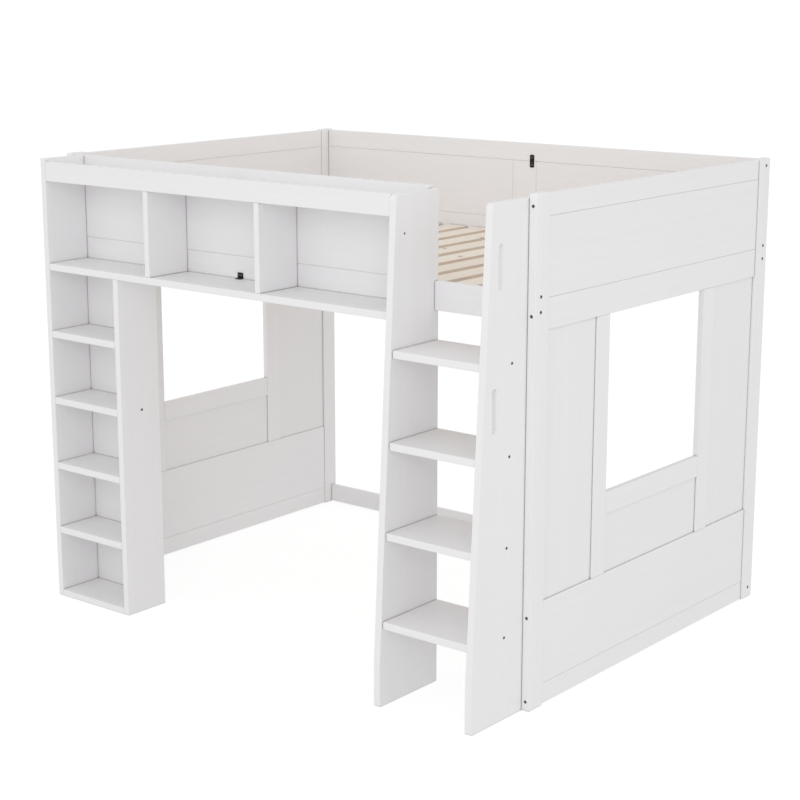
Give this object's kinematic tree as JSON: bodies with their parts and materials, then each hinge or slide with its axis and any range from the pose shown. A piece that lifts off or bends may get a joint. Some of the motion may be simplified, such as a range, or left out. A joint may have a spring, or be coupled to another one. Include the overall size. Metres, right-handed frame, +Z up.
{
  "type": "loft bed",
  "caption": "High sleeper bed with panelled window ends, fixed ladder, open shelf along the guard, bookcase tower and a slatted base.",
  "frame": {"origin": "on the floor, under the middle of the bed's outside length and depth, ladder included", "axes": "+X along the bed towards the ladder end, +Y from the ladder side to the back, +Z up"},
  "size_m": [2.11, 1.733, 1.654],
  "materials": {
    "paint": "satin white paint on solid wood",
    "panel_paint": "satin white paint on thin board",
    "pine": "bare planed pine",
    "steel": "dark zinc"
  },
  "bodies": {
    "root": {"back_bottom_rail": "paint", "back_center_stile": "paint", "back_guard_left": "paint", "back_guard_right": "paint", "back_side_rail": "paint", "back_slat_ledger": "paint", "back_top_rail": "paint", "bookcase_back_panel": "panel_paint", "bookcase_bottom_board": "paint", "bookcase_left_side": "paint", "bookcase_right_side": "paint", "bookcase_shelf_1": "paint", "bookcase_shelf_2": "paint", "bookcase_shelf_3": "paint", "bookcase_shelf_4": "paint", "center_beam": "pine", "cubby_bottom_board": "paint", "cubby_divider_left": "paint", "cubby_divider_right": "paint", "cubby_fascia": "paint", "cubby_top_board": "paint", "front_guard_board": "paint", "front_side_rail": "paint", "front_slat_ledger": "paint", "ladder_left_stile": "paint", "ladder_right_stile": "paint", "ladder_side_rail": "paint", "ladder_tread_1": "paint", "ladder_tread_2": "paint", "ladder_tread_3": "paint", "ladder_tread_4": "paint", "left_back_post": "paint", "left_bottom_rail": "paint", "left_front_post": "paint", "left_guard_panel": "paint", "left_infill_back": "panel_paint", "left_infill_front": "panel_paint", "left_lower_panel": "paint", "left_mid_rail": "paint", "left_top_rail": "paint", "left_under_sill_panel": "panel_paint", "left_window_sill": "paint", "left_window_stile_back": "paint", "left_window_stile_front": "paint", "lower_corner_bracket": "steel", "right_back_post": "paint", "right_bottom_rail": "paint", "right_front_post": "paint", "right_guard_panel": "paint", "right_infill_back": "panel_paint", "right_infill_front": "panel_paint", "right_lower_panel": "paint", "right_mid_rail": "paint", "right_top_rail": "paint", "right_under_sill_panel": "panel_paint", "right_window_sill": "paint", "right_window_stile_back": "paint", "right_window_stile_front": "paint", "slat_roll": "pine", "upper_corner_bracket": "steel"}
  },
  "joints": []
}
